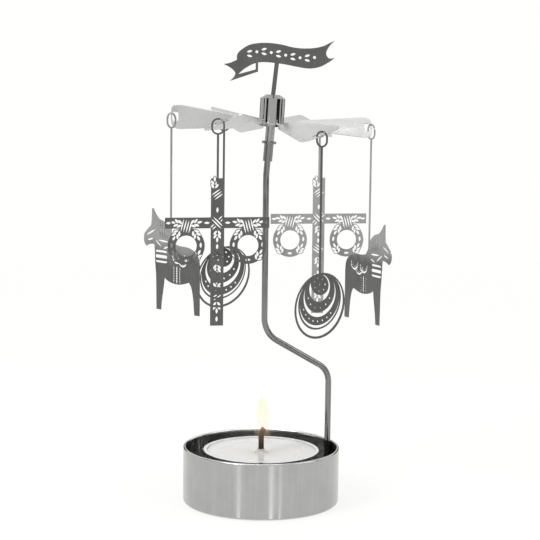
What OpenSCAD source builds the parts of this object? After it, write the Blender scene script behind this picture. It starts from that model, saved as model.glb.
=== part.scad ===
// Candle carousel. A sheet-metal cup holds a tealight, a bent rod rises from the
// cup, and a six-bladed rotor turns on the rod's point in the candle's warm air.
// Six flat pendants hang from the blades, and a ribbon banner stands on the hub.
// The origin is the centre of the cup's underside, +Z is up, and the banner
// faces -Y. All lengths are millimetres.

/* [Cup] */
// Outside diameter of the cup
cup_d = 51.4; // [50:0.2:60]
// Height of the cup
cup_h = 18.6; // [17:0.2:24]
// Thickness of the cup's wall and floor
cup_wall = 0.5; // [0.4:0.05:0.7]
// Rounding radius of the cup's foot
cup_foot_r = 1.2; // [0.9:0.1:2]
// Diameter of the rolled bead on the cup's rim
cup_bead_d = 0.9; // [0.8:0.05:1.4]

/* [Rod] */
// Diameter of the rod's wire
rod_d = 2.0; // [1.8:0.1:2.2]
// Direction of the riser, seen from above, from +X
riser_angle = 23.6; // [10:0.2:35]
// Distance of the post from the cup's centre, towards +X
post_offset = 0.6; // [0:0.1:3]
// Height at which the post bends towards its leaning top
top_bend_z = 108; // [100:0.5:110]
// Lean of the post's top towards +X
top_lean = 4.4; // [0:0.2:5]
// Bend radius below the post's top
top_bend_r = 30; // [20:1:40]
// Height at which the riser's centre line meets the slope's
crook_z = 42.4; // [38:0.2:50]
// Slope of the rod between its two bends, from level
crook_slope = 30.5; // [20:0.5:40]
// Bend radius between the slope and the post
upper_bend_r = 9; // [5:0.5:12]
// Bend radius between the riser and the slope
lower_bend_r = 7; // [4:0.5:9]
// Bend radius between the riser and the foot
foot_bend_r = 2.5; // [2:0.1:3]
// Radius of the foot ring on which the tealight stands
foot_ring_r = 16; // [12:0.5:17]
// Bend radius where the foot's arm joins its ring
foot_join_r = 3; // [2:0.1:3.5]
// Sweep of the foot ring
foot_sweep = 320; // [280:5:330]

/* [Pivot] */
// Height of the ferrule's lower end, measured along the post
ferrule_z = 112.9; // [111:0.1:118]
// Outside diameter of the ferrule
ferrule_d = 3.0; // [2.8:0.1:3.6]
// Length of the ferrule
ferrule_len = 5.7; // [5:0.1:8]
// Diameter of the stop washer on the ferrule
washer_d = 4.6; // [4:0.1:5.4]
// Thickness of the stop washer
washer_t = 0.8; // [0.5:0.1:1.2]
// Diameter of the pivot pin
pin_d = 2.9; // [2.6:0.1:3.1]
// Length of the pin above the washer, with its point
pin_len = 12.2; // [11:0.1:14]
// Length of the pin's conical point
pin_point_h = 2.6; // [2:0.1:3.4]
// Length of the pin's spigot in the ferrule
spigot_len = 2.4; // [1.6:0.1:3]
// Diameter of the pin's spigot
spigot_d = 1.6; // [1.2:0.1:1.8]

/* [Hub] */
// Outside diameter of the hub cap
hub_d = 8.0; // [7.6:0.1:9]
// Height of the hub cap from its shoulder to its crown
hub_h = 9.1; // [8.6:0.1:10]
// Diameter of the flat crown
crown_d = 4.4; // [4:0.1:5]
// Height of the bevel round the crown
crown_h = 1.2; // [0.8:0.1:1.6]
// Metal between the bearing seat and the crown
crown_t = 2.1; // [2:0.1:2.6]
// Bore of the hub cap
hub_bore_d = 5.4; // [5.3:0.05:5.6]
// Diameter of the neck that carries the rotor wheel
neck_d = 6.6; // [6.4:0.1:7]
// Length of the neck below the shoulder
neck_h = 1.2; // [1.1:0.1:1.6]
// Metal above the seat's cone
seat_web = 0.6; // [0.4:0.1:0.7]
// Depth of the seat's cone
seat_cone_h = 1.5; // [1.2:0.1:1.6]
// Outside diameter of the retaining ring
retainer_d = 8.2; // [8:0.1:9]
// Thickness of the retaining ring
retainer_t = 0.6; // [0.4:0.05:0.7]

/* [Rotor] */
// Thickness of the sheet of blades, pendants and banner
sheet_t = 0.3; // [0.2:0.02:0.34]
// Radius of the blades' tips
rotor_r = 32.5; // [32:0.5:38]
// Width of a blade at its tip
blade_w = 15.4; // [12:0.2:17]
// Width of a blade at its shoulder
blade_shoulder_w = 6.4; // [5:0.2:7.4]
// Radius at which a blade reaches its shoulder width
blade_shoulder_r = 9.6; // [9:0.2:11]
// Width of the twisted neck between disc and blade
blade_neck_w = 2.6; // [2:0.1:3.2]
// Radius at which the twisted neck ends
blade_neck_r = 7.2; // [6.8:0.1:8]
// Corner radius of a blade
blade_corner_r = 2.4; // [1.5:0.1:3]
// Pitch of the flattest blade
blade_pitch = 22; // [15:1:30]
// Difference of pitch between the flattest and the steepest blade
pitch_spread = 12; // [0:1:14]
// Droop of the blade that hangs lowest
blade_droop = 4.5; // [0:0.5:5]
// Diameter of the disc at the blades' roots
disc_d = 9.6; // [9:0.1:10.4]
// Lean of the loosely seated rotor on its point
rotor_lean = 4.2; // [0:0.1:4.5]
// Direction towards which the rotor leans, seen from above, from +X
lean_direction = 48; // [0:2:358]

/* [Hooks] */
// Outside radius of a pendant's ring
hook_r = 2.15; // [2.1:0.05:2.5]
// Width of a ring's band
hook_band = 0.55; // [0.45:0.05:0.6]
// Straight sides of a ring, between its two round ends
hook_stretch = 0.9; // [0.4:0.1:1.2]
// Slit through which a ring is threaded
hook_gap = 0.35; // [0.2:0.05:0.6]
// Width of a pendant's stem
stem_w = 0.65; // [0.5:0.05:0.9]
// Rim of a blade between the hook slot and the tip
slot_rim = 0.5; // [0.45:0.05:0.6]
// Width of the hook slot, from root to tip
slot_w = 2.0; // [1.9:0.05:2.3]
// Length of the hook slot, across the blade
slot_len = 6.0; // [5.6:0.1:6.6]
// Distance by which a ring has slid down its slot from the middle
hook_slide = 0.5; // [0:0.1:0.7]
// Depth of a ring's centre below the blade
hook_drop = 0.65; // [0.6:0.05:0.8]
// Depth of the pendants' lowest edges below their rings' centres
pendant_drop = 62.8; // [61:0.2:65]

/* [Horse pendants] */
// Height of a horse from hoof to ear
horse_h = 33.2; // [28:0.2:36]

/* [Maypole pendants] */
// Height of a maypole
pole_h = 46.3; // [42:0.1:50]
// Width of the pole
pole_w = 4.1; // [3.8:0.1:5]
// Depth of the crossbar's centre below the pole's top
crossbar_depth = 13.9; // [12:0.1:15]
// Length of the crossbar
crossbar_len = 32.7; // [31:0.1:34]
// Width of the crossbar
crossbar_w = 3.4; // [3:0.1:4]
// Distance between the wreaths' centres
wreath_pitch = 19.4; // [18:0.1:21]
// Depth of the wreaths' centres below the crossbar's centre
wreath_depth = 7.2; // [6.6:0.1:7.4]
// Outside radius of a wreath
wreath_r = 5.8; // [5.6:0.1:6.4]
// Radius of a wreath's hole
wreath_hole_r = 3.3; // [3:0.1:3.6]

/* [Oval pendants] */
// Length of an oval
oval_len = 22.6; // [20:0.2:25]
// Width of an oval
oval_w = 17.2; // [15:0.2:19]
// Lean of an oval from upright
oval_tilt = 31; // [20:1:40]
// Depth of an oval's middle below its ring's centre
oval_drop = 52.6; // [50:0.1:55]

/* [Banner] */
// Length of the banner
banner_len = 35.6; // [30:0.2:38]
// Height of the banner from tail tip to upper tip
banner_h = 13.2; // [12:0.2:15]
// Height of the banner's middle above the crown
banner_rise = 10.9; // [9:0.1:13]
// Turn of the banner on its stem that lifts its right end
banner_tilt = 3; // [0:0.5:6]
// Width of the banner's stem
banner_stem_w = 1.4; // [1.2:0.1:1.7]
// Distance by which the stem's top stands to the right of its foot
banner_stem_lean = 0.6; // [0:0.1:2]
// Depth of the stem's slot in the crown
banner_slot_h = 1.5; // [1:0.1:1.8]

/* [Tealight] */
// Diameter over the tealight's flange
tealight_d = 38.0; // [36:0.2:40]
// Height of the tealight's cup
tealight_h = 14.8; // [13:0.2:15.2]
// Width of the flange
flange_w = 0.7; // [0.5:0.1:1]
// Thickness of the tealight's foil
foil_t = 0.3; // [0.2:0.05:0.4]
// Depth of the wax below the flange
wax_depth = 0.7; // [0.5:0.1:2]
// Diameter of the wick
wick_d = 1.8; // [1.2:0.1:2]
// Height of the straight wick above the wax
wick_rise = 5.2; // [4:0.2:7]
// Bend radius of the wick's tip
wick_bend_r = 4; // [3:0.5:6]
// Angle of the bend at the wick's tip
wick_bend_angle = 40; // [10:5:60]
// Diameter of the wick's metal tab
tab_d = 12; // [10:0.5:14]
// Height of the tab's tube
tab_tube_h = 3.2; // [2.6:0.2:4]
// Wall of the tab's tube
tab_tube_wall = 0.35; // [0.3:0.05:0.5]

/* [Clearances] */
// Gap between pieces that rest on each other or are pressed together
fit_gap = 0.02; // [0.01:0.01:0.03]
// Gap between the pin's point and its seat
pivot_gap = 0.05; // [0.03:0.01:0.1]
// Gap between the tealight and the foot ring
seat_gap = 0.06; // [0.03:0.01:0.1]

/* [Hidden] */

$fn = 48;
overrun = 1;
bend_thin = 0.01;
bend_lap = 0.05;
neck_thin = 0.06;
neck_lap = 0.08;
blade_root_tab = 0.3;
flat = 90;
round_turn = 360;
curve_steps = 4;
ellipse_steps = 44;

steel = [0.72, 0.72, 0.70];
dark_steel = [0.38, 0.38, 0.37];
pale_steel = [0.82, 0.83, 0.81];
brass = [0.78, 0.66, 0.38];
aluminium = [0.86, 0.86, 0.86];
wax_white = [0.95, 0.94, 0.90];
wick_black = [0.12, 0.10, 0.09];

// Places on the rod
cup_in_r = cup_d / 2 - cup_wall;
riser_r = cup_in_r - rod_d / 2 - 2 * fit_gap;
riser = [riser_r * cos(riser_angle), riser_r * sin(riser_angle)];
crook_run = norm(riser - [post_offset, 0]);
crook_direction = atan2(riser.y, riser.x - post_offset);
crook_turn = flat - crook_slope;
crook_top_z = crook_z + crook_run * tan(crook_slope);
upper_tangent = upper_bend_r * tan(crook_turn / 2);
lower_tangent = lower_bend_r * tan(crook_turn / 2);
slope_len = crook_run / cos(crook_slope) - upper_tangent - lower_tangent;
top_tangent = top_bend_r * tan(top_lean / 2);
foot_z = cup_wall + fit_gap + rod_d / 2;
join_angle = asin(foot_join_r / (foot_ring_r + foot_join_r));
arm_end_r = (foot_ring_r + foot_join_r) * cos(join_angle);

// Heights along the post, up to the point of its leaning top
ferrule_top_z = ferrule_z + ferrule_len;
washer_top_z = ferrule_top_z + washer_t;
rod_top_z = ferrule_top_z - spigot_len - fit_gap;
point_z = washer_top_z + pin_len;

// The turning axis stands upright through the point
axis_x = post_offset + (point_z - top_bend_z) * sin(top_lean);
tip_z = top_bend_z + (point_z - top_bend_z) * cos(top_lean);
seat_apex_z = tip_z + pivot_gap;
seat_top_z = seat_apex_z + seat_web;
crown_z = seat_top_z + crown_t;
shoulder_z = crown_z - hub_h;
blade_z = shoulder_z - fit_gap - sheet_t / 2;
tip = [axis_x, 0, tip_z];

// Hook slot and rings, measured along a blade
slot_r = rotor_r - slot_rim - slot_w / 2;
ring_r = rotor_r - slot_rim / 2;
hook_in_r = hook_r - hook_band;
slit_angle = 60;

// Each blade is twisted and bent by hand: its share of the pitch's spread and
// its share of the droop
blade_shares = [[0.25, -0.3], [0.4, 0.25], [1, 0.1], [1, -0.2], [0.15, 0], [0, 1]];
last_blade = len(blade_shares) - 1;
blade_step = round_turn / len(blade_shares);

// Each pendant's blade, and the direction of the pendant's own width
horse_right_at = [0, -58];
maypole_back_at = [1, 8];
oval_back_at = [2, -12];
horse_left_at = [3, 137];
maypole_front_at = [4, 9];
oval_front_at = [5, -36];

// Tealight
tealight_z = cup_wall + fit_gap + rod_d + seat_gap;
tealight_r = tealight_d / 2 - flange_w;
wax_r = tealight_r - foil_t - fit_gap;
wax_bottom_z = tealight_z + foil_t + fit_gap;
wax_top_z = tealight_z + tealight_h - wax_depth;
tab_z = wax_bottom_z;
wick_bottom_z = tab_z + foil_t + fit_gap;

// Cut-outs in the flat sheets
leaf_len = 1.75;
leaf_w = 0.74;
leaf_rim = 0.22;
leaf_step = 1.08;
leaf_spread = 0.66;
leaf_slant = 35;
ribbon_w = 0.44;
ribbon_step = 0.84;
ribbon_slant = 35;
dot_r = 0.3;
slit_w = 0.42;
rein_w = 0.62;
bead_r = 0.46;
bead_step = 0.78;
scallop_r = 0.62;

// Outline of the horse from its front hoof, in shares of its height, as curves
// that meet at corners. The stem's line is x = 0.
horse_shares = [
    [[0.196, 0], [0.202, 0.322], [0.214, 0.446], [0.223, 0.584], [0.229, 0.645]],
    [[0.229, 0.645], [0.285, 0.640], [0.345, 0.617]],
    [[0.345, 0.617], [0.375, 0.660], [0.374, 0.729], [0.338, 0.774], [0.277, 0.828]],
    [[0.277, 0.828], [0.268, 0.890], [0.263, 0.995]],
    [[0.249, 1.000], [0.208, 0.940], [0.163, 0.900]],
    [[0.163, 0.900], [0.090, 0.878], [0.036, 0.834], [0.006, 0.783], [-0.015, 0.723], [-0.048, 0.675]],
    [[-0.048, 0.675], [-0.120, 0.660], [-0.241, 0.654], [-0.337, 0.620], [-0.389, 0.554], [-0.401, 0.467]],
    [[-0.401, 0], [-0.334, 0]],
    [[-0.334, 0], [-0.316, 0.166], [-0.289, 0.271], [-0.256, 0.313]],
    [[-0.256, 0.313], [-0.181, 0.289], [-0.105, 0.277], [-0.018, 0.283], [0.048, 0.304], [0.087, 0.331]],
    [[0.087, 0.331], [0.099, 0.247], [0.127, 0.090], [0.136, 0]]
];
mane_shares = [[0.045, 0.760, 0.095], [0.078, 0.778, 0.130], [0.111, 0.790, 0.145], [0.144, 0.798, 0.150]];
// Slits of the bridle and rein: both ends of each, in shares of the height
rein_shares = [
    [[0.215, 0.792], [0.352, 0.722]],
    [[0.335, 0.676], [0.240, 0.702]],
    [[0.236, 0.700], [0.118, 0.617]],
    [[0.185, 0.690], [0.020, 0.682]],
    [[0.110, 0.610], [0.020, 0.640]]
];
breast_share = [0.132, 0.530];
breast_size_share = [0.130, 0.124];
girth_share = [-0.085, 0.370];
girth_size_share = [0.096, 0.130];
saddle_shares = [[-0.245, 0.560], [-0.085, 0.545], [-0.165, 0.520]];
saddle_r_share = 0.066;
saddle_band_share = 0.018;
saddle_edge_share = 0.26;
saddle_dot_bearings = [210, 270, 330];
stem_end_share = 0.7;
// Beaded bars and scallops of a block, in shares of its height
bead_bar_share = 0.23;
scallop_step_share = 0.33;

// Sprigs on the maypole's pole: share of its width to the side, share of its
// height down, and whether the sprig points up
pole_sprig_shares = [[-0.22, 0.006, 1], [0, 0.415, -1], [0, 0.645, -1], [0, 0.70, 1], [0, 0.90, -1]];
// Ribbons on the pole: share of its height down, number of slots and slant
pole_ribbon_shares = [[0.108, 3, 1], [0.525, 3, -1], [0.80, 2, 1]];
pole_leaf_shares = [0.214, 0.462, 0.955];
// Sprigs on the crossbar beside each wreath's ribbon, and the leaves between
bar_sprig_share = 0.72;
bar_sprig_slant = 14;
bar_leaf_shares = [0.2, 0.93];
knot_len_share = 1.28;
knot_place_share = 0.3;
knot_slant = 14;
// Bearings round a wreath from its top: tips of the sprigs, and single leaves
wreath_sprig_bearings = [58, 116];
wreath_leaf_bearings = [87, 180];
// Ribbons that cross where pole and bar meet, in shares of the pole's width
cross_long_share = 1.12;
cross_short_share = 0.42;
cross_place_share = 0.43;

// Outline of the banner from its left upper tip, in shares of its length and
// height, as curves that meet at corners, and the band folded under its tail
banner_shares = [
    [[0.000, 0.414], [0.060, 0.330], [0.104, 0.215], [0.096, 0.110], [0.055, 0.000]],
    [[0.055, 0.000], [0.140, 0.183]],
    [[0.140, 0.183], [0.188, 0.300], [0.262, 0.414], [0.330, 0.462], [0.408, 0.462], [0.480, 0.442],
     [0.556, 0.415], [0.667, 0.358], [0.770, 0.320], [0.865, 0.358], [0.948, 0.472], [1.005, 0.588]],
    [[1.005, 0.588], [0.952, 0.570], [0.925, 0.690], [0.950, 0.850], [1.000, 1.000]],
    [[1.000, 1.000], [0.948, 0.933], [0.900, 0.870], [0.815, 0.817], [0.704, 0.808], [0.615, 0.837],
     [0.525, 0.895], [0.408, 0.933], [0.298, 0.923], [0.210, 0.856], [0.129, 0.683], [0.120, 0.520]],
    [[0.120, 0.520], [0.060, 0.446], [0.000, 0.414]]
];
fold_shares = [[0.055, 0.000], [0.180, 0.115], [0.312, 0.235], [0.312, 0.480], [0.290, 0.480],
               [0.290, 0.290], [0.125, 0.165]];
banner_axis_share = 0.466;
banner_leaf_slant = 15;
// Middle line of the banner's cut-outs
garland_shares = [[0.235, 0.670], [0.300, 0.715], [0.365, 0.725], [0.430, 0.700], [0.495, 0.670],
                  [0.560, 0.640], [0.625, 0.605], [0.690, 0.580], [0.755, 0.575], [0.820, 0.590]];

// Nested ovals: length share, width share and upward shift in shares of the half
// height, from the outside in
oval_rim_shares = [1, 1, 0];
oval_open_shares = [0.955, 0.93, 0.02];
oval_sliver_shares = [0.86, 0.84, 0.13];
oval_sliver_cut_shares = [0.82, 0.80, 0.145];
oval_shell_shares = [0.79, 0.79, 0.195];
oval_gap_shares = [0.65, 0.65, 0.307];
oval_disc_shares = [0.59, 0.60, 0.385];
oval_ring_shares = [0.41, 0.43, 0.53];
oval_flower_share = 0.31;
oval_flower_place_share = 0.635;
oval_flower_ring_share = 0.62;
oval_stem_share = 0.93;
oval_half_height = norm([oval_len * cos(oval_tilt), oval_w * sin(oval_tilt)]) / 2;
// Dots in the nested ovals: number, size share and the bearings between which
// they stand
shell_dot_shares = [8, 0.67, 148, 262];
disc_dot_shares = [6, 0.46, 140, 280];
flower_dots = 7;

// Catmull-Rom curve through open points
function curve_point(a, b, c, d, t) =
    (2 * b + (c - a) * t + (2 * a - 5 * b + 4 * c - d) * t * t + (3 * b - a - 3 * c + d) * t * t * t) / 2;
function curve(p) =
    len(p) < 3 ? p :
    concat([for (i = [0:len(p) - 2], s = [0:curve_steps - 1])
               curve_point(p[max(i - 1, 0)], p[i], p[i + 1], p[min(i + 2, len(p) - 1)], s / curve_steps)],
           [p[len(p) - 1]]);
function same(a, b) = norm(a - b) == 0;
function joined(curves) =
    [for (i = [0:len(curves) - 1]) let (c = curve(curves[i]), next = curves[(i + 1) % len(curves)][0])
        for (j = [0:len(c) - 1]) if (j < len(c) - 1 || !same(c[j], next)) c[j]];
function scaled(points, size) = [for (p = points) [p.x * size.x, p.y * size.y]];
function ellipse(a, b) =
    [for (i = [0:ellipse_steps - 1]) let (t = round_turn * i / ellipse_steps) [a * cos(t), b * sin(t)]];

// A point of the level rotor, after the rotor has leaned about the pin's tip
lean_axis = [-sin(lean_direction), cos(lean_direction), 0];
function leaned_point(p) =
    let (v = p - tip)
    tip + v * cos(rotor_lean) + cross(lean_axis, v) * sin(rotor_lean)
        + lean_axis * (lean_axis * v) * (1 - cos(rotor_lean));

// A point of a blade's flat sheet, given along and across the blade
function pitch_of(i) = blade_pitch + pitch_spread * blade_shares[i][0];
function droop_of(i) = blade_droop * blade_shares[i][1];
function blade_point(i, along, across) =
    let (out = along - blade_neck_r,
         up = across * sin(pitch_of(i)),
         r = blade_neck_r + out * cos(droop_of(i)) + up * sin(droop_of(i)),
         side = across * cos(pitch_of(i)),
         angle = i * blade_step)
    [axis_x + r * cos(angle) - side * sin(angle), r * sin(angle) + side * cos(angle),
     blade_z + up * cos(droop_of(i)) - out * sin(droop_of(i))];
function hook_place(i) = leaned_point(blade_point(i, ring_r, -hook_slide)) - [0, 0, hook_drop];

module leaned() {
    translate(tip) rotate(a = rotor_lean, v = lean_axis) translate(-tip) children();
}

module on_axis(z = 0) {
    translate([axis_x, 0, z]) children();
}

// Places what is drawn about the post's centre line on its leaning top
module on_top(z = 0) {
    translate([post_offset, 0, top_bend_z]) rotate([0, top_lean, 0]) translate([0, 0, z - top_bend_z])
        children();
}

// Outline of a turned cup's half section, with a rounded foot
module cup_section(r, h, corner) {
    square([r - corner, h]);
    translate([0, corner]) square([r, h - corner]);
    translate([r - corner, corner]) circle(r = corner);
}

module cup() {
    color(steel)
    rotate_extrude() {
        difference() {
            cup_section(cup_d / 2, cup_h - cup_bead_d / 2, cup_foot_r);
            translate([0, cup_wall]) cup_section(cup_in_r, cup_h, cup_foot_r - cup_wall);
        }
        translate([cup_d / 2 - cup_bead_d / 2, cup_h - cup_bead_d / 2]) circle(d = cup_bead_d);
    }
}

// Bent wire: an arc in the XZ plane about the origin, from one angle by a turn
module wire_bend(r, from, turn, d = rod_d) {
    rotate([flat, 0, 0]) wire_arc(r, from, turn, d);
}

// Bent wire: an arc in the XY plane about the origin, from one angle by a turn.
// Wire thins a little where it is bent, so each end lies inside a straight one.
module wire_arc(r, from, turn, d = rod_d) {
    rotate([0, 0, from]) rotate_extrude(angle = turn) translate([r, 0]) circle(d = d - 2 * bend_thin);
}

// Straight wire along +Z from the origin, which laps the bends at its two ends
module wire(h, d = rod_d) {
    translate([0, 0, -bend_lap]) cylinder(d = d, h = h + 2 * bend_lap);
}

module support_rod() {
    color(steel) {
        translate([post_offset, 0, 0]) rotate([0, 0, crook_direction]) {
            translate([0, 0, crook_top_z + upper_tangent])
                wire(top_bend_z - top_tangent - crook_top_z - upper_tangent);
            translate([upper_bend_r, 0, crook_top_z + upper_tangent])
                wire_bend(upper_bend_r, 2 * flat, crook_turn);
            translate([upper_tangent * cos(crook_slope), 0, crook_top_z - upper_tangent * sin(crook_slope)])
                rotate([0, flat + crook_slope, 0]) wire(slope_len);
            translate([crook_run - lower_bend_r, 0, crook_z - lower_tangent])
                wire_bend(lower_bend_r, 0, crook_turn);
            translate([crook_run, 0, foot_z + foot_bend_r])
                wire(crook_z - lower_tangent - foot_z - foot_bend_r);
        }
        translate([post_offset + top_bend_r, 0, top_bend_z - top_tangent])
            wire_bend(top_bend_r, 2 * flat - top_lean, top_lean);
        on_top(top_bend_z + top_tangent) wire(rod_top_z - top_bend_z - top_tangent - bend_lap);
        rotate([0, 0, riser_angle]) translate([0, 0, foot_z]) foot();
    }
}

// Foot of the rod: a bend, a short arm and an open ring
module foot() {
    translate([riser_r - foot_bend_r, 0, foot_bend_r]) wire_bend(foot_bend_r, -flat, flat);
    translate([arm_end_r, 0, 0]) rotate([0, flat, 0]) wire(riser_r - foot_bend_r - arm_end_r);
    translate([arm_end_r, foot_join_r, 0])
        wire_arc(foot_join_r, join_angle - 2 * flat, flat - join_angle);
    rotate([0, 0, join_angle]) translate([foot_ring_r, 0, 0]) rotate([flat, 0, 0]) wire(0);
    wire_arc(foot_ring_r, join_angle, foot_sweep);
}

module tube(d, bore, h) {
    difference() {
        cylinder(d = d, h = h);
        translate([0, 0, -overrun]) cylinder(d = bore, h = h + 2 * overrun);
    }
}

module ferrule() {
    color(steel) on_top(ferrule_z) tube(ferrule_d, rod_d + 2 * fit_gap, ferrule_len);
}

module stop_washer() {
    color(pale_steel) on_top(ferrule_top_z) tube(washer_d, spigot_d + 2 * fit_gap, washer_t);
}

module pivot_pin() {
    color(steel) {
        on_top(washer_top_z) cylinder(d = pin_d, h = pin_len - pin_point_h);
        on_top(point_z - pin_point_h) cylinder(d1 = pin_d, d2 = 0, h = pin_point_h);
        on_top(ferrule_top_z - spigot_len) cylinder(d = spigot_d, h = spigot_len + washer_t);
    }
}

module bearing_seat() {
    color(brass) leaned() on_axis(seat_apex_z - seat_cone_h) difference() {
        cylinder(d = hub_bore_d - 2 * fit_gap, h = seat_cone_h + seat_web);
        translate([0, 0, -overrun])
            cylinder(r1 = seat_cone_h + overrun, r2 = 0, h = seat_cone_h + overrun);
    }
}

module hub_cap() {
    color(steel) leaned() on_axis(0) difference() {
        union() {
            translate([0, 0, shoulder_z]) cylinder(d = hub_d, h = hub_h - crown_h);
            translate([0, 0, crown_z - crown_h]) cylinder(d1 = hub_d, d2 = crown_d, h = crown_h);
            translate([0, 0, shoulder_z - neck_h]) cylinder(d = neck_d, h = neck_h);
        }
        translate([0, 0, shoulder_z - neck_h - overrun])
            cylinder(d = hub_bore_d, h = seat_top_z + fit_gap - shoulder_z + neck_h + overrun);
        translate([0, 0, crown_z - banner_slot_h / 2 + overrun / 2])
            cube([banner_stem_w + 2 * fit_gap, sheet_t + 2 * fit_gap, banner_slot_h + overrun],
                 center = true);
    }
}

module retaining_ring() {
    color(pale_steel) leaned() on_axis(blade_z - sheet_t / 2 - fit_gap - retainer_t)
        tube(retainer_d, neck_d + 2 * fit_gap, retainer_t);
}

// Flat outline of a blade, with its root at the neck. The side line runs from
// the shoulder to the tip, and an arc joins it to the tip's circle.
function arc(centre, r, from, to, steps) =
    [for (i = [0:steps]) let (t = from + (to - from) * i / steps) centre + r * [cos(t), sin(t)]];
function blade_outline() =
    let (lean = (blade_w - blade_shoulder_w) / 2 / (rotor_r - blade_shoulder_r),
         side = atan(lean),
         base = blade_shoulder_w / 2 - blade_corner_r / cos(side) - lean * blade_shoulder_r,
         reach = rotor_r - blade_corner_r,
         spread = 1 + lean * lean,
         x = (sqrt(spread * reach * reach - base * base) - lean * base) / spread,
         corner = [x, base + lean * x],
         bearing = atan2(corner.y, corner.x))
    concat([[blade_neck_r, blade_neck_w / 2], [blade_shoulder_r, blade_shoulder_w / 2]],
           arc(corner, blade_corner_r, side + flat, bearing, curve_steps),
           arc([0, 0], rotor_r, bearing, 0, curve_steps));
function both_sides(points) =
    concat([for (p = points) [p.x, -p.y]], [for (i = [len(points) - 2:-1:0]) points[i]]);

module blade_2d() {
    difference() {
        polygon(both_sides(blade_outline()));
        translate([slot_r, 0]) hook_slot_2d();
    }
}

module hook_slot_2d() {
    square([slot_w, slot_len - slot_w], center = true);
    for (side = [-1, 1]) translate([0, side * (slot_len - slot_w) / 2]) circle(d = slot_w);
}

// Blade with the twisted neck that joins it to the disc. The twist thins the
// metal, so both its ends lie inside flat sheet.
module blade(i) {
    twist_start_r = disc_d / 2 + blade_root_tab - bend_lap;
    twist_len = blade_neck_r + neck_lap - twist_start_r;
    translate([blade_neck_r, 0, 0]) rotate([0, droop_of(i), 0]) rotate([pitch_of(i), 0, 0])
        translate([-blade_neck_r, 0, 0]) linear_extrude(sheet_t, center = true) blade_2d();
    translate([twist_start_r, 0, 0]) rotate([flat, 0, flat])
        linear_extrude(twist_len, twist = -pitch_of(i), slices = 6, segments = 4)
            square([blade_neck_w - neck_thin, sheet_t - neck_thin], center = true);
}

module disc_2d() {
    difference() {
        union() {
            circle(d = disc_d);
            for (i = [0:last_blade]) rotate(i * blade_step) translate([0, -blade_neck_w / 2])
                square([disc_d / 2 + blade_root_tab, blade_neck_w]);
        }
        circle(d = neck_d + 2 * fit_gap);
    }
}

module rotor_wheel() {
    color(pale_steel) leaned() on_axis(blade_z) {
        linear_extrude(sheet_t, center = true) disc_2d();
        for (i = [0:last_blade]) rotate([0, 0, i * blade_step]) blade(i);
    }
}

// Pointed leaf along X, with its middle at the origin
module leaf_2d(length, width) {
    bow = (length * length / width + width) / 4;
    intersection() {
        translate([0, bow - width / 2]) circle(r = bow, $fn = 96);
        translate([0, width / 2 - bow]) circle(r = bow, $fn = 96);
    }
}

// Narrow leaf from one point to another
module slit_2d(from, to, width) {
    run = to - from;
    translate((from + to) / 2) rotate(atan2(run.y, run.x)) leaf_2d(norm(run), width);
}

// Feather of leaves that points along X: a middle leaf and pairs behind it. A
// margin draws the metal round the leaves in place of their holes.
module sprig_2d(margin) {
    length = leaf_len + 2 * margin;
    width = leaf_w + 2 * margin;
    leaf_2d(length, width);
    for (i = [1:2], side = [-1, 1])
        translate([-i * leaf_step, side * leaf_spread]) rotate(side * leaf_slant) leaf_2d(length, width);
}

// Upright oblong with round ends, which reaches down from its upper centre
module oblong_2d(r, reach) {
    circle(r = r);
    translate([0, -reach]) circle(r = r);
    translate([-r, -reach]) square([2 * r, reach]);
}

// Ring, its slit, and the stem down to a depth
module hook_2d(depth) {
    stem_top = hook_stretch + hook_in_r + hook_band / 2;
    difference() {
        oblong_2d(hook_r, hook_stretch);
        oblong_2d(hook_in_r, hook_stretch);
        rotate(slit_angle) translate([0, -hook_gap / 2]) square([hook_r + overrun, hook_gap]);
    }
    translate([-stem_w / 2, -depth]) square([stem_w, depth - stem_top]);
}

// Hangs a flat pendant, drawn with its ring's centre at the origin
module hang(place) {
    translate(hook_place(place[0])) rotate([flat, 0, place[1]])
        linear_extrude(sheet_t, center = true) children();
}

module bead_row(count) {
    for (i = [0:count]) translate([(i - count / 2) * bead_step, 0]) circle(r = bead_r, $fn = 24);
}

// Open block with scalloped sides and two beaded bars left in it
module beaded_block_2d(size) {
    past_ends = 2;
    difference() {
        union() {
            square(size, center = true);
            for (side = [-1, 1], i = [-1:1])
                translate([side * size.x / 2, i * size.y * scallop_step_share])
                    circle(r = scallop_r, $fn = 24);
        }
        for (side = [-1, 1])
            translate([0, side * size.y * bead_bar_share]) bead_row(ceil(size.x / bead_step) + past_ends);
    }
}

module horse_cutouts_2d() {
    for (m = mane_shares)
        slit_2d([m[0], m[1] - m[2] / 2] * horse_h, [m[0], m[1] + m[2] / 2] * horse_h, slit_w);
    for (r = rein_shares) slit_2d(r[0] * horse_h, r[1] * horse_h, rein_w);
    translate(breast_share * horse_h) beaded_block_2d(breast_size_share * horse_h);
    translate(girth_share * horse_h) rotate(flat)
        beaded_block_2d([girth_size_share.y, girth_size_share.x] * horse_h);
    for (s = saddle_shares) translate(s * horse_h) saddle_lobe_2d(saddle_r_share * horse_h);
}

// Open scallop under a solid lobe, with a small fan of dots in it
module saddle_lobe_2d(r) {
    band = saddle_band_share * horse_h;
    difference() {
        circle(r = r);
        circle(r = r - band);
        translate([-r - overrun, r * saddle_edge_share]) square(2 * (r + overrun));
    }
    for (a = saddle_dot_bearings) rotate(a) translate([r / 2, 0]) circle(r = dot_r, $fn = 24);
}

module horse_2d() {
    hook_2d(pendant_drop - horse_h * stem_end_share);
    translate([0, -pendant_drop]) difference() {
        polygon(joined(horse_shares) * horse_h);
        horse_cutouts_2d();
    }
}

module horse_right() {
    color(dark_steel) hang(horse_right_at) horse_2d();
}

module horse_left() {
    color(dark_steel) hang(horse_left_at) horse_2d();
}

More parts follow.
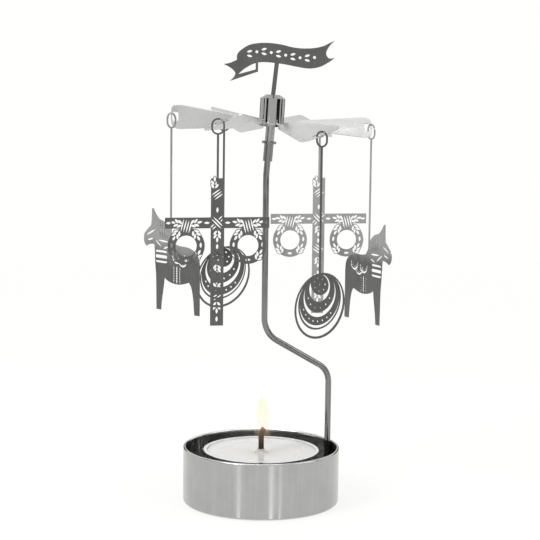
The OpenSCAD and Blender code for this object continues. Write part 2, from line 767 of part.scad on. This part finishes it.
// Parallel ribbon slots, each along X before the slant
module ribbon_2d(count, length, slant) {
    rotate(slant) for (i = [0:count - 1])
        translate([0, (i - (count - 1) / 2) * ribbon_step]) leaf_2d(length, ribbon_w);
}

// Places of the sprigs on pole and bar: point and direction
function sprig_places() =
    concat([for (side = [-1, 1], turn = [-1, 1])
               [[side * wreath_pitch / 2 + turn * wreath_r * bar_sprig_share, -crossbar_depth + leaf_rim],
                flat - turn * (flat - bar_sprig_slant)]],
           [for (s = pole_sprig_shares) [[s[0] * pole_w, -s[1] * pole_h], s[2] * flat]]);

// Places what is drawn about the middle of a wreath's top, at a bearing from it
module round_wreath(bearing) {
    rotate(-bearing) translate([0, (wreath_r + wreath_hole_r) / 2]) children();
}

// All sprigs: their metal with a margin, their holes without one
module maypole_sprigs_2d(margin) {
    for (p = sprig_places()) translate(p[0]) rotate(p[1]) sprig_2d(margin);
    for (side = [-1, 1]) wreath_place(side) for (flip = [0, 1]) mirror([flip, 0])
        for (bearing = wreath_sprig_bearings)
            round_wreath(bearing) rotate(bearing < flat ? 0 : 2 * flat) sprig_2d(margin);
}

module wreath_place(side) {
    translate([side * wreath_pitch / 2, -crossbar_depth - wreath_depth]) children();
}

module wreath_cutouts_2d() {
    for (flip = [0, 1]) mirror([flip, 0]) for (bearing = wreath_leaf_bearings)
        round_wreath(bearing) leaf_2d(leaf_len, leaf_w);
}

// Ribbons and leaves where the pole and the bar cross
module crossing_cutouts_2d() {
    ribbon_2d(2, pole_w * cross_long_share, -flat / 2);
    for (side = [-1, 1]) rotate(flat / 2) translate([side * pole_w * cross_place_share, 0])
        ribbon_2d(2, pole_w * cross_short_share, 0);
    for (side = [-1, 1], share = bar_leaf_shares)
        translate([side * crossbar_len / 2 * share, 0]) leaf_2d(leaf_len, leaf_w);
}

module maypole_cutouts_2d() {
    maypole_sprigs_2d(0);
    for (side = [-1, 1]) {
        translate([side * wreath_pitch / 2, -crossbar_depth - crossbar_w * knot_place_share])
            ribbon_2d(4, crossbar_w * knot_len_share, flat + side * knot_slant);
        wreath_place(side) wreath_cutouts_2d();
    }
    translate([0, -crossbar_depth]) crossing_cutouts_2d();
    for (r = pole_ribbon_shares)
        translate([0, -pole_h * r[0]]) ribbon_2d(r[1], pole_w - 2 * leaf_rim, r[2] * ribbon_slant);
    for (share = pole_leaf_shares) translate([0, -pole_h * share]) rotate(flat) leaf_2d(leaf_len, leaf_w);
}

module maypole_2d() {
    top = pole_h - pendant_drop;
    hook_2d(leaf_len - top);
    translate([0, top]) difference() {
        union() {
            translate([-pole_w / 2, -pole_h]) square([pole_w, pole_h]);
            translate([-crossbar_len / 2, -crossbar_depth - crossbar_w / 2])
                square([crossbar_len, crossbar_w]);
            for (side = [-1, 1]) wreath_place(side) circle(r = wreath_r);
            maypole_sprigs_2d(leaf_rim);
        }
        for (side = [-1, 1]) wreath_place(side) circle(r = wreath_hole_r);
        maypole_cutouts_2d();
    }
}

module maypole_back() {
    color(pale_steel) hang(maypole_back_at) maypole_2d();
}

module maypole_front() {
    color(dark_steel) hang(maypole_front_at) maypole_2d();
}

// One oval of the nest: length share, width share and shift share
module nested_2d(shares) {
    raised_oval(shares[2]) polygon(ellipse(shares[0] * oval_len / 2, shares[1] * oval_w / 2));
}

// Moves an oval up by a share of the nest's half height and leans it
module raised_oval(share) {
    translate([0, share * oval_half_height]) rotate(flat - oval_tilt) children();
}

// Dots along part of an oval: number, size share and the two end bearings
module dots_2d(shares) {
    for (i = [0:shares[0] - 1]) let (t = shares[2] + (shares[3] - shares[2]) * i / (shares[0] - 1))
        translate([oval_len * cos(t), oval_w * sin(t)] * shares[1] / 2) circle(r = dot_r, $fn = 24);
}

// Medallion of nested ovals that touch at the top
module oval_nest_2d() {
    difference() {
        nested_2d(oval_rim_shares);
        nested_2d(oval_open_shares);
    }
    difference() {
        nested_2d(oval_sliver_shares);
        nested_2d(oval_sliver_cut_shares);
    }
    difference() {
        nested_2d(oval_shell_shares);
        nested_2d(oval_gap_shares);
        raised_oval(oval_shell_shares[2]) dots_2d(shell_dot_shares);
    }
    difference() {
        nested_2d(oval_disc_shares);
        nested_2d(oval_ring_shares);
        raised_oval(oval_disc_shares[2]) dots_2d(disc_dot_shares);
    }
    raised_oval(oval_flower_place_share) difference() {
        circle(r = oval_flower_share * oval_half_height);
        circle(r = dot_r, $fn = 24);
        for (i = [0:flower_dots - 1]) rotate(i * round_turn / flower_dots)
            translate([oval_flower_share * oval_flower_ring_share * oval_half_height, 0])
                circle(r = dot_r, $fn = 24);
    }
}

module oval_2d() {
    hook_2d(oval_drop - oval_half_height * oval_stem_share);
    translate([0, -oval_drop]) oval_nest_2d();
}

module oval_front() {
    color(dark_steel) hang(oval_front_at) oval_2d();
}

module oval_back() {
    color(dark_steel) hang(oval_back_at) oval_2d();
}

module banner_2d() {
    size = [banner_len, banner_h];
    difference() {
        union() {
            polygon(scaled(joined(banner_shares), size));
            polygon(scaled(fold_shares, size));
        }
        for (i = [0:len(garland_shares) - 1])
            translate([garland_shares[i].x * size.x, garland_shares[i].y * size.y])
                if (i % 2 == 0) for (side = [-1, 1])
                    translate([0, side * leaf_w]) rotate(side * banner_leaf_slant) leaf_2d(leaf_len, leaf_w);
                else circle(r = bead_r);
    }
}

module banner() {
    color(dark_steel) leaned() on_axis(crown_z) rotate([flat, 0, 0]) linear_extrude(sheet_t, center = true) {
        translate([(1 / 2 - banner_axis_share) * banner_len, banner_rise]) rotate(banner_tilt)
            translate(-[banner_len, banner_h] / 2) banner_2d();
        translate([-banner_stem_w / 2, fit_gap - banner_slot_h]) square([banner_stem_w, banner_slot_h]);
        polygon([[-banner_stem_w / 2, 0], [banner_stem_w / 2, 0],
                 [banner_stem_lean + banner_stem_w / 2, banner_rise],
                 [banner_stem_lean - banner_stem_w / 2, banner_rise]]);
    }
}

module tealight_cup() {
    color(aluminium) translate([0, 0, tealight_z]) {
        difference() {
            cylinder(r = tealight_r, h = tealight_h);
            translate([0, 0, foil_t]) cylinder(r = tealight_r - foil_t, h = tealight_h);
        }
        translate([0, 0, tealight_h - foil_t]) tube(tealight_d, 2 * (tealight_r - foil_t), foil_t);
    }
}

// Solid that the wick's tab fills, grown by a gap
module tab_space(gap) {
    translate([0, 0, tab_z - gap]) cylinder(d = tab_d + 2 * gap, h = foil_t + 2 * gap);
    translate([0, 0, tab_z]) cylinder(d = wick_d + 2 * (tab_tube_wall + fit_gap + gap), h = tab_tube_h + gap);
}

module wax() {
    color(wax_white) difference() {
        translate([0, 0, wax_bottom_z]) cylinder(r = wax_r, h = wax_top_z - wax_bottom_z);
        tab_space(fit_gap);
        translate([0, 0, wax_bottom_z]) cylinder(d = wick_d + 2 * fit_gap, h = wax_top_z);
    }
}

module wick() {
    bend_z = wax_top_z + wick_rise;
    color(wick_black) {
        translate([0, 0, wick_bottom_z + bend_lap]) wire(bend_z - wick_bottom_z - bend_lap, wick_d);
        translate([wick_bend_r, 0, bend_z])
            wire_bend(wick_bend_r, 2 * flat - wick_bend_angle, wick_bend_angle, wick_d);
    }
}

module wick_tab() {
    color(pale_steel) difference() {
        tab_space(0);
        translate([0, 0, wick_bottom_z - fit_gap])
            cylinder(d = wick_d + 2 * fit_gap, h = tab_tube_h + overrun);
    }
}

cup();
support_rod();
ferrule();
stop_washer();
pivot_pin();
bearing_seat();
hub_cap();
retaining_ring();
rotor_wheel();
banner();
horse_right();
maypole_back();
oval_back();
horse_left();
maypole_front();
oval_front();
tealight_cup();
wax();
wick();
wick_tab();
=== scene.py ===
"""Looks of the candle carousel: camera, studio, steel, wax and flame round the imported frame."""

import math

import bmesh
import bpy
from mathutils import Matrix, Vector


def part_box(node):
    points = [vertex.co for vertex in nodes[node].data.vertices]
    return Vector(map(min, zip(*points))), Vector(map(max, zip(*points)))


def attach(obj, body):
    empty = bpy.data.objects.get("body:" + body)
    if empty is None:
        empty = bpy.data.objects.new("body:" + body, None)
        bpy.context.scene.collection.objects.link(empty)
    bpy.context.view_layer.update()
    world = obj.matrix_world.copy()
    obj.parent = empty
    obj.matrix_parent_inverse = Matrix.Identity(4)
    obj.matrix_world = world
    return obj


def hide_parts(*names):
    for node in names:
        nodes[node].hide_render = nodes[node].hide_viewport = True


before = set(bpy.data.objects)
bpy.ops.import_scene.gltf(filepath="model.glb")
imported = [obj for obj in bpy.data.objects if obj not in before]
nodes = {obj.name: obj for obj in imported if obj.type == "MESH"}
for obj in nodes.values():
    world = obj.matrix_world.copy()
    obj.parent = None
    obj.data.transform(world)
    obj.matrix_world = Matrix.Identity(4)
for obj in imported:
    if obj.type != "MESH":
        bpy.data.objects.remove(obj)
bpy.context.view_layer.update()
scene = bpy.context.scene
scene.view_settings.view_transform = "Standard"

# Camera at the photograph's place
MM = 0.001
EYE = Vector((0.593, -643.4, 173.88)) * MM
YAW, PITCH, ROLL = math.radians(0.145), math.radians(-8.54), math.radians(0.70)
FOCAL_PX, FRAME_PX, SENSOR = 1996.95, 540, 36.0
forward = Vector((math.sin(YAW) * math.cos(PITCH), math.cos(YAW) * math.cos(PITCH),
                  math.sin(PITCH)))
level = Vector((math.cos(YAW), -math.sin(YAW), 0))
above = level.cross(forward)
right = level * math.cos(ROLL) + above * math.sin(ROLL)
up = above * math.cos(ROLL) - level * math.sin(ROLL)
cam_data = bpy.data.cameras.new("photo_camera")
cam_data.sensor_width = SENSOR
cam_data.lens = SENSOR * FOCAL_PX / FRAME_PX
cam_data.clip_start = 0.01
cam = bpy.data.objects.new("photo_camera", cam_data)
scene.collection.objects.link(cam)
cam.matrix_world = Matrix(((right.x, up.x, -forward.x, EYE.x),
                           (right.y, up.y, -forward.y, EYE.y),
                           (right.z, up.z, -forward.z, EYE.z),
                           (0, 0, 0, 1)))
scene.camera = cam


class Nodes:
    """Short calls for building a node tree."""

    def __init__(self, tree):
        self.tree = tree
        tree.nodes.clear()

    def add(self, kind, inputs=None, **settings):
        """New node with its settings; each input is a link or a plain value."""
        n = self.tree.nodes.new(kind)
        for name, value in settings.items():
            setattr(n, name, value)
        for name, value in (inputs or {}).items():
            if isinstance(value, bpy.types.NodeSocket):
                self.tree.links.new(value, n.inputs[name])
            else:
                n.inputs[name].default_value = value
        return n

    def coords(self, scale=(1, 1, 1)):
        """The object's own coordinates, scaled by axis."""
        own = self.add("ShaderNodeTexCoord").outputs["Object"]
        return self.add("ShaderNodeMapping", {"Vector": own, "Scale": scale}).outputs["Vector"]

    def height(self):
        """Height in the object's own coordinates."""
        return self.add("ShaderNodeSeparateXYZ", {0: self.coords()}).outputs[2]

    def reach(self, scale=(1, 1, 1)):
        """Distance from the origin, with the coordinates scaled by axis."""
        return self.add("ShaderNodeVectorMath", {0: self.coords(scale)},
                        operation="LENGTH").outputs["Value"]

    def noise(self, vector, scale, detail, rough):
        return self.add("ShaderNodeTexNoise", {"Vector": vector, "Scale": scale, "Detail": detail,
                                               "Roughness": rough}).outputs["Fac"]

    def span(self, value, lo, hi, from_lo=0.3, from_hi=0.7):
        """Value between two ends, as the given value goes between two others."""
        return self.add("ShaderNodeMapRange", {
            "Value": value, "From Min": from_lo, "From Max": from_hi, "To Min": lo,
            "To Max": hi}).outputs["Result"]

    def math(self, op, a, b):
        return self.add("ShaderNodeMath", {0: a, 1: b}, operation=op).outputs[0]

    def ramp(self, value, stops):
        """Colour by value, from pairs of a place and a colour."""
        r = self.add("ShaderNodeValToRGB", {"Fac": value})
        elements = r.color_ramp.elements
        for i in (0, -1):
            elements[i].position = stops[i][0]
            elements[i].color = (*stops[i][1], 1)
        for place, colour in stops[1:-1]:
            elements.new(place).color = (*colour, 1)
        return r.outputs["Color"]

    def bump(self, height, strength, depth, normal=None):
        inputs = {"Height": height, "Strength": strength, "Distance": depth}
        if normal is not None:
            inputs["Normal"] = normal
        return self.add("ShaderNodeBump", inputs).outputs["Normal"]

    def seen(self):
        """One for camera, glossy and transmitted rays, zero for rays that only carry light."""
        path = self.add("ShaderNodeLightPath").outputs
        indirect = self.math("MAXIMUM", path["Is Glossy Ray"], path["Is Transmission Ray"])
        return self.math("MAXIMUM", path["Is Camera Ray"], indirect)

    def between(self, share, first, second):
        """Shader between two others."""
        return self.add("ShaderNodeMixShader",
                        {"Fac": share, 1: first.outputs[0], 2: second.outputs[0]})

    def surface(self, shader):
        self.add("ShaderNodeOutputMaterial", {"Surface": shader.outputs[0]})


def material(name):
    m = bpy.data.materials.new(name)
    m.use_nodes = True
    return m, Nodes(m.node_tree)


# Noise values at which steel has its dark and its light shade, and the second tone's spread
DARK_AT, LIGHT_AT, SECOND_SPREAD = 0.36, 0.64, 0.06
# Depths of the broad waves and of the fine grain
WAVE_DEPTH, GRAIN_DEPTH = 0.0012, 0.00006
# How far smudges shift the height at which one tone gives way to the other
TONE_SHIFT = 0.002


def steel(name, tone, rough, grain, wave=0.25, wave_scale=70, tint=(1, 1, 0.985), patch=0.05,
          grain_bump=0.06, second=None):
    """Steel with rolled or turned grain, faint smudges and a slightly uneven surface.

    A second tone, given as (tone, "height" or "radius", start, end), takes over between the two
    distances.
    """
    m, n = material(name)
    fine = n.noise(n.coords(grain), scale=1.0, detail=4.0, rough=0.6)
    smudge = n.noise(n.coords(), scale=160, detail=4.0, rough=0.55)
    broad = n.noise(n.coords(), scale=wave_scale, detail=1.5, rough=0.4)
    mixed = n.math("ADD", n.math("MULTIPLY", fine, 0.5), n.math("MULTIPLY", smudge, 0.5))

    def shades(middle, spread):
        dark = tuple(middle * (1 - spread) * c for c in tint)
        light = tuple(min(middle * (1 + spread) * c, 1) for c in tint)
        return n.ramp(mixed, [(DARK_AT, dark), (LIGHT_AT, light)])

    colour = shades(tone, patch)
    if second:
        other, by, start, end = second
        if by == "height":
            distance = n.math("ADD", n.height(), n.span(smudge, -TONE_SHIFT, TONE_SHIFT))
        else:
            distance = n.reach((1, 1, 0))
        colour = n.add("ShaderNodeMix", {
            "Factor": n.span(distance, 0, 1, start, end), "A": colour,
            "B": shades(other, SECOND_SPREAD)}, data_type="RGBA").outputs["Result"]
    grain_rough = n.span(fine, rough * 0.85, rough * 1.2)
    smudge_rough = n.span(smudge, 0.0, rough * 0.35, 0.5, 0.72)
    n.surface(n.add("ShaderNodeBsdfPrincipled", {
        "Base Color": colour, "Metallic": 1.0,
        "Roughness": n.math("ADD", grain_rough, smudge_rough),
        "Normal": n.bump(fine, grain_bump, GRAIN_DEPTH, n.bump(broad, wave, WAVE_DEPTH))}))
    return m


SHEET_GRAIN, WIRE_GRAIN, LATHE_GRAIN = (2600, 2600, 70), (700, 700, 90), (60, 60, 7000)
# Lit and shaded copies of one sheet steel, with painted light and shade in their tones: pale for
# the lit blades, dark for the shaded banner, front maypole and ovals, mid grey for the back
# maypole
sheet_painted_lit = steel("blade_sheet_steel_painted_lit", 0.58, 0.32, SHEET_GRAIN, wave=0.10, wave_scale=60)
sheet_painted_shade = steel("front_sheet_steel_painted_shade", 0.125, 0.30, SHEET_GRAIN, wave=0.12, wave_scale=60,
                   patch=0.12)
sheet_painted_half_shade = steel("back_sheet_steel_painted_half_shade", 0.36, 0.28, SHEET_GRAIN, wave=0.2, wave_scale=75,
                  patch=0.10)
# Horses: a shaded copy of the sheet steel with painted shade, and a painted highlight that makes
# them lighter from 79 to 87 mm up
horse_painted_shade_and_highlight = steel("horse_sheet_steel_painted_shade_and_highlight", 0.15, 0.28, SHEET_GRAIN, wave=0.2, wave_scale=75,
                    patch=0.12, second=(0.40, "height", 0.079, 0.087))
# The cup's outer edge, from 25.3 to 25.6 mm off the axis and beyond, takes a darker tone of the
# same steel: painted shade
cup_steel = steel("drawn_cup_steel", 0.64, 0.17, (900, 900, 40), wave=0.08, wave_scale=45,
                  patch=0.03, second=(0.42, "radius", 0.0253, 0.0256))
wire_steel = steel("polished_wire_steel", 0.22, 0.12, WIRE_GRAIN, wave=0.08, wave_scale=140)
turned_steel = steel("turned_steel", 0.34, 0.08, LATHE_GRAIN, wave=0.04, wave_scale=160,
                     grain_bump=0.03)
pressed_steel = steel("pressed_tab_steel", 0.70, 0.25, (900, 900, 900), wave=0.2, wave_scale=200)
brass = steel("machined_brass", 0.80, 0.2, LATHE_GRAIN, tint=(1.0, 0.82, 0.48), grain_bump=0.03)
foil = steel("drawn_aluminium_foil", 0.80, 0.25, (500, 500, 90), wave=0.3, wave_scale=260,
             tint=(1, 1, 1))

# Radii on the wax: its palest edge, and the band in which the melted pool turns matt; and how
# far clouds in the wax shift them
WAX_EDGE, POOL_IN, POOL_OUT, CLOUD_SHIFT = 0.018, 0.011, 0.0135, 0.0012
# Heights at which the wick's ember starts and is full, and how far ash shifts them
EMBER_START, EMBER_FULL, EMBER_SHIFT = 0.0246, 0.0272, 0.0015
# Heights of the flame's two ends
FLAME_FOOT, FLAME_TIP = 0.0182, 0.0353


def wax_material():
    """Paraffin: soft and pale, a wet melted pool round the wick and a matt rim."""
    m, n = material("paraffin_wax")
    cloud = n.noise(n.coords(), scale=190, detail=4, rough=0.6)
    wobble = n.math("ADD", n.reach((1, 1, 0)), n.span(cloud, -CLOUD_SHIFT, CLOUD_SHIFT))
    colour = n.ramp(n.span(wobble, 0, 1, 0.0, WAX_EDGE),
                    [(0.0, (0.58, 0.54, 0.49)), (0.35, (0.64, 0.63, 0.61)),
                     (0.8, (0.69, 0.685, 0.67)), (1.0, (0.74, 0.74, 0.725))])
    n.surface(n.add("ShaderNodeBsdfPrincipled", {
        "Base Color": colour, "Roughness": n.span(wobble, 0.12, 0.42, POOL_IN, POOL_OUT),
        "Subsurface Weight": 0.35, "Subsurface Radius": (1.0, 0.9, 0.75),
        "Subsurface Scale": 0.003, "IOR": 1.44,
        "Normal": n.bump(cloud, strength=0.12, depth=0.0004)}))
    return m


def wick_material():
    """Braided cotton, charred black, with an ember at the tip."""
    m, n = material("charred_wick")
    braid = n.add("ShaderNodeTexVoronoi", {"Vector": n.coords((2200, 2200, 1300)), "Scale": 1.0})
    ash = n.noise(n.coords(), scale=1500, detail=3, rough=0.6)
    ember_height = n.math("ADD", n.height(), n.math("MULTIPLY", ash, EMBER_SHIFT))
    ember = n.ramp(n.span(ember_height, 0, 1, EMBER_START, EMBER_FULL),
                   [(0.0, (0, 0, 0)), (0.5, (0.35, 0.05, 0.0)), (1.0, (1.0, 0.35, 0.06))])
    n.surface(n.add("ShaderNodeBsdfPrincipled", {
        "Base Color": n.ramp(ash, [(0.35, (0.006, 0.004, 0.003)), (0.7, (0.035, 0.026, 0.02))]),
        "Roughness": 0.9, "Normal": n.bump(braid.outputs["Distance"], strength=0.9, depth=0.0002),
        "Emission Color": ember, "Emission Strength": 1.6}))
    return m


def flame_material(name, colours, alphas):
    """Flame shell: colour and opacity by the share of the flame's height."""
    m, n = material(name)
    height = n.span(n.height(), 0, 1, FLAME_FOOT, FLAME_TIP)
    n.surface(n.between(n.ramp(height, [(place, (v, v, v)) for place, v in alphas]),
                        n.add("ShaderNodeBsdfTransparent"),
                        n.add("ShaderNodeEmission", {"Color": n.ramp(height, colours)})))
    return m


# One material for each CAD node; the wax has a surface of its own further down
LOOKS = {
    "cup": cup_steel, "support_rod": wire_steel, "ferrule": wire_steel, "stop_washer": wire_steel,
    "pivot_pin": turned_steel, "bearing_seat": brass, "hub_cap": turned_steel,
    "retaining_ring": turned_steel, "rotor_wheel": sheet_painted_lit, "banner": sheet_painted_shade,
    "horse_right": horse_painted_shade_and_highlight, "horse_left": horse_painted_shade_and_highlight, "maypole_front": sheet_painted_shade,
    "maypole_back": sheet_painted_half_shade, "oval_front": sheet_painted_shade, "oval_back": sheet_painted_shade,
    "tealight_cup": foil, "wick_tab": pressed_steel, "wick": wick_material(),
}
for name, look in LOOKS.items():
    node = nodes[name]
    if not node.data.materials:
        node.data.materials.append(look)
    for slot in node.material_slots:
        slot.material = look


def mesh_object(name, build, mat, smooth=True):
    """Object from a function that fills a bmesh."""
    bm = bmesh.new()
    build(bm)
    bmesh.ops.recalc_face_normals(bm, faces=bm.faces)
    me = bpy.data.meshes.new(name)
    bm.to_mesh(me)
    bm.free()
    for f in me.polygons:
        f.use_smooth = smooth
    me.materials.append(mat)
    o = bpy.data.objects.new(name, me)
    scene.collection.objects.link(o)
    return o


def lathe(bm, profile, steps, shift=lambda z: (0.0, 0.0)):
    """Surface of revolution of (radius, height) pairs, closed at poles of radius zero."""
    rings = []
    for r, z in profile:
        dx, dy = shift(z)
        if r == 0:
            rings.append([bm.verts.new((dx, dy, z))])
            continue
        angles = [2 * math.pi * i / steps for i in range(steps)]
        rings.append([bm.verts.new((dx + r * math.cos(a), dy + r * math.sin(a), z))
                      for a in angles])
    for p, q in zip(rings, rings[1:]):
        for i in range(steps):
            j = (i + 1) % steps
            if len(p) == 1:
                bm.faces.new((p[0], q[j], q[i]))
            elif len(q) == 1:
                bm.faces.new((p[i], p[j], q[0]))
            else:
                bm.faces.new((p[i], p[j], q[j], q[i]))


# Wax with a dished top, a meniscus at the foil and another at the wick
WAX_SIDES, WAX_CLEARANCE = 96, 0.00002
wax_lo, wax_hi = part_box("wax")
wax_r, wax_top = wax_hi.x - WAX_CLEARANCE, wax_hi.z
wax_bottom = wax_lo.z + WAX_CLEARANCE
# Round the wick: its clearance, and the further gaps at the wax's top and at its underside
WICK_CLEARANCE, TOP_GAP, UNDERSIDE_GAP = 0.00003, 0.0001, 0.0002
wick_lo, wick_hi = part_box("wick")
wick_r = (wick_hi.y - wick_lo.y) / 2 + WICK_CLEARANCE
# Heights of the underside and of its edge over the bottom, and depth of both inner walls
UNDERSIDE, UNDERSIDE_EDGE, WALL_DEPTH = 0.0006, 0.0008, 0.002
# Inwards from the foil and up from the top
FOIL_MENISCUS = ((0.0, 0.00018), (0.0002, 0.00012), (0.0007, -0.00012))
# Dish: drop at its edge, further depth in the middle, and where it starts, as shares of radius
DISH_DROP, DISH_DEPTH, DISH_START = 0.00022, 0.00028, 0.92
DISH_SHARES = (0.9, 0.84, 0.78, 0.72, 0.66, 0.58, 0.48, 0.38, 0.28, 0.2, 0.14, 0.1, 0.075, 0.06)
# At the wick: how high the wax clings, and the size of the rise before it, with the shares of
# radius at which the rise starts and has that size
WICK_CLING, RISE, RISE_START, RISE_SHARE = 0.0004, 0.0002, 0.15, 0.1


def wax_surface(bm):
    profile = [(wick_r + UNDERSIDE_GAP, wax_bottom + UNDERSIDE)]
    profile += [(wax_r * k, wax_bottom + UNDERSIDE) for k in (0.3, 0.7)]
    profile += [(wax_r, wax_bottom + UNDERSIDE_EDGE), (wax_r, wax_top - WALL_DEPTH)]
    profile += [(wax_r - inwards, wax_top + lift) for inwards, lift in FOIL_MENISCUS]
    for k in DISH_SHARES:
        dip = DISH_DEPTH * math.cos(min(k / DISH_START, 1) * math.pi / 2)
        rise = RISE * (RISE_SHARE / k) ** 4 if k < RISE_START else 0
        profile.append((wax_r * k, wax_top - DISH_DROP - dip + rise))
    hole = wick_r + TOP_GAP
    profile += [(hole, wax_top + WICK_CLING), (hole, wax_top - WALL_DEPTH)]
    lathe(bm, profile, WAX_SIDES)


wax = mesh_object("wax_body", wax_surface, wax_material())
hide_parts("wax")
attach(wax, "tealight")

# Flame: three nested shells that lean a little with the wick
SHELL_RINGS, SHELL_SIDES = 26, 40
SHELL_FULLNESS, SHELL_TAPER = 0.55, 0.3
FLAME_LEAN, FLAME_SWAY, SWAY_ANGLE = 0.0003, 0.0006, 2.6


def flame_axis(z):
    t = (z - FLAME_FOOT) / (FLAME_TIP - FLAME_FOOT)
    return FLAME_LEAN + FLAME_SWAY * math.sin(t * SWAY_ANGLE) - FLAME_SWAY * t, 0.0


def flame_shell(name, foot_in, tip_in, width, belly, colours, alphas):
    """Drop-shaped shell, cut short at foot and tip; a smaller belly has its widest place lower."""
    foot, tip = FLAME_FOOT + foot_in, FLAME_TIP - tip_in
    profile = []
    for i in range(SHELL_RINGS + 1):
        t = i / SHELL_RINGS
        r = 0
        if 0 < i < SHELL_RINGS:
            swell = math.sin(math.pi * t ** belly) ** SHELL_FULLNESS
            r = width * swell * (1 - SHELL_TAPER * t ** 3)
        profile.append((r, foot + (tip - foot) * t))
    shell = mesh_object(name, lambda bm: lathe(bm, profile, SHELL_SIDES, flame_axis),
                        flame_material(name, colours, alphas))
    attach(shell, "tealight")


flame_shell("flame_outer", foot_in=0.0, tip_in=0.0, width=0.0028, belly=0.78,
            colours=[(0.0, (1.0, 0.45, 0.20)), (0.3, (1.0, 0.78, 0.52)),
                     (0.55, (0.99, 1.0, 0.80)), (1.0, (0.92, 0.98, 0.66))],
            alphas=[(0.0, 0.0), (0.25, 0.05), (0.45, 0.10), (0.62, 0.38), (0.85, 0.50),
                    (1.0, 0.35)])
flame_shell("flame_middle", foot_in=0.001, tip_in=0.001, width=0.0021, belly=0.78,
            colours=[(0.0, (1.0, 0.40, 0.12)), (0.3, (1.0, 0.76, 0.45)),
                     (0.55, (1.0, 0.99, 0.84)), (1.0, (0.97, 1.0, 0.76))],
            alphas=[(0.0, 0.0), (0.30, 0.03), (0.45, 0.07), (0.62, 0.55), (1.0, 0.6)])
flame_shell("flame_core", foot_in=0.006, tip_in=0.003, width=0.0015, belly=0.70,
            colours=[(0.0, (1.0, 0.45, 0.12)), (0.35, (1.0, 0.86, 0.60)),
                     (0.55, (1.0, 0.98, 0.88)), (1.0, (1.0, 1.0, 0.92))],
            alphas=[(0.0, 0.0), (0.46, 0.05), (0.64, 0.7), (1.0, 0.7)])

# Studio: white floor and world, soft lamps, and dark cards and bright strips that only
# reflections show
WARM_WHITE, FLOOR_WHITE = (1, 1, 0.99, 1), (0.90, 0.90, 0.895, 1)
# Strength of the world as a light, and where it is seen
WORLD_LIGHT, WORLD_SEEN = 0.55, 1.0
FLOOR_HALF, FLOOR_DROP = 40.0, 0.00005
# Share of glow in the floor's look near the object and away from it, and the two distances
NEAR_SHARE, FAR_SHARE, NEAR, FAR = 0.80, 1.0, 0.10, 0.60
CARD_DISTANCE, CARD_HEIGHT = 0.9, 0.34
# Strips: gap to the cup, length, and height over the floor
STREAK_GAP, STREAK_REACH, STREAK_LIFT = 0.0003, 0.14, 0.0002

world = bpy.data.worlds.new("studio")
scene.world = world
world.use_nodes = True
sky = Nodes(world.node_tree)
back = sky.add("ShaderNodeBackground", {
    "Color": WARM_WHITE, "Strength": sky.span(sky.seen(), WORLD_LIGHT, WORLD_SEEN, 0.0, 1.0)})
sky.add("ShaderNodeOutputWorld", {"Surface": back.outputs[0]})


def floor_material():
    """White floor that glows where it is looked at, more so away from the object."""
    m, n = material("studio_floor")
    share = n.span(n.reach(), NEAR_SHARE, FAR_SHARE, NEAR, FAR)
    n.surface(n.between(n.math("MULTIPLY", n.seen(), share),
                        n.add("ShaderNodeBsdfDiffuse", {"Color": FLOOR_WHITE}),
                        n.add("ShaderNodeEmission", {"Color": WARM_WHITE})))
    return m


def floor_mesh(bm):
    corners = ((-1, -1), (1, -1), (1, 1), (-1, 1))
    bm.faces.new([bm.verts.new((x * FLOOR_HALF, y * FLOOR_HALF, -FLOOR_DROP)) for x, y in corners])


floor = mesh_object("studio_floor", floor_mesh, floor_material(), smooth=False)


def outward(angle):
    """Level direction, with angles from the camera's side, positive towards +X."""
    return Vector((math.sin(angle), -math.cos(angle), 0))


def reflected(name, corners, tone):
    """Flat studio prop of one grey, seen by reflections alone."""
    m, n = material(name)
    n.surface(n.add("ShaderNodeEmission", {"Color": (tone, tone, tone, 1)}))
    o = mesh_object(name, lambda bm: bm.faces.new([bm.verts.new(c) for c in corners]), m,
                    smooth=False)
    o.visible_camera = False
    o.visible_diffuse = False
    o.visible_shadow = False
    o.visible_transmission = False


def card(name, bearing, width, tone):
    """Upright card at a bearing in degrees, facing the object."""
    a = math.radians(bearing)
    centre = outward(a) * CARD_DISTANCE
    side = Vector((math.cos(a), math.sin(a), 0)) * width / 2
    lift = Vector((0, 0, CARD_HEIGHT))
    left, right_end = centre - side, centre + side
    reflected(name, (left, right_end, right_end + lift, left + lift), tone)


card("card_back_left", bearing=-158, width=0.50, tone=0.03)
card("card_back_right", bearing=158, width=0.50, tone=0.03)
card("card_left", bearing=-84, width=0.16, tone=0.05)
card("card_right", bearing=96, width=0.26, tone=0.05)
card("card_front_left", bearing=-50, width=0.32, tone=0.02)
card("card_front_right", bearing=57, width=0.55, tone=0.02)

cup_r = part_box("cup")[1].x


def streak(name, facing, half_width, tone):
    """Strip on the floor that the cup's wall shows as one upright streak; angles in degrees."""
    lift = Vector((0, 0, STREAK_LIFT))
    corners = []
    for side in (-1, 1):
        a = math.radians(facing + side * half_width)
        foot = outward(a) * (cup_r + STREAK_GAP) + lift
        far = foot + outward(2 * a) * STREAK_REACH
        corners += [foot, far] if side < 0 else [far, foot]
    reflected(name, corners, tone)


streak("streak_left", facing=-16.1, half_width=1.3, tone=1.6)
streak("streak_middle", facing=7.7, half_width=1.2, tone=1.8)
streak("streak_right", facing=14.2, half_width=0.6, tone=1.7)


def lamp(name, place, aim_height, size, power):
    """Soft square lamp that points at the cup's axis."""
    data = bpy.data.lights.new(name, "AREA")
    data.shape = "RECTANGLE"
    data.size = data.size_y = size
    data.energy = power
    o = bpy.data.objects.new(name, data)
    o.location = place
    direction = Vector((0, 0, aim_height)) - Vector(place)
    o.rotation_euler = direction.to_track_quat("-Z", "Y").to_euler()
    scene.collection.objects.link(o)


lamp("key", (-0.7, -0.6, 0.9), aim_height=0.07, size=0.5, power=7.0)
lamp("fill", (0.9, -0.4, 0.5), aim_height=0.07, size=0.6, power=3.0)
lamp("top", (0.0, 0.1, 1.2), aim_height=0.05, size=0.6, power=5.0)
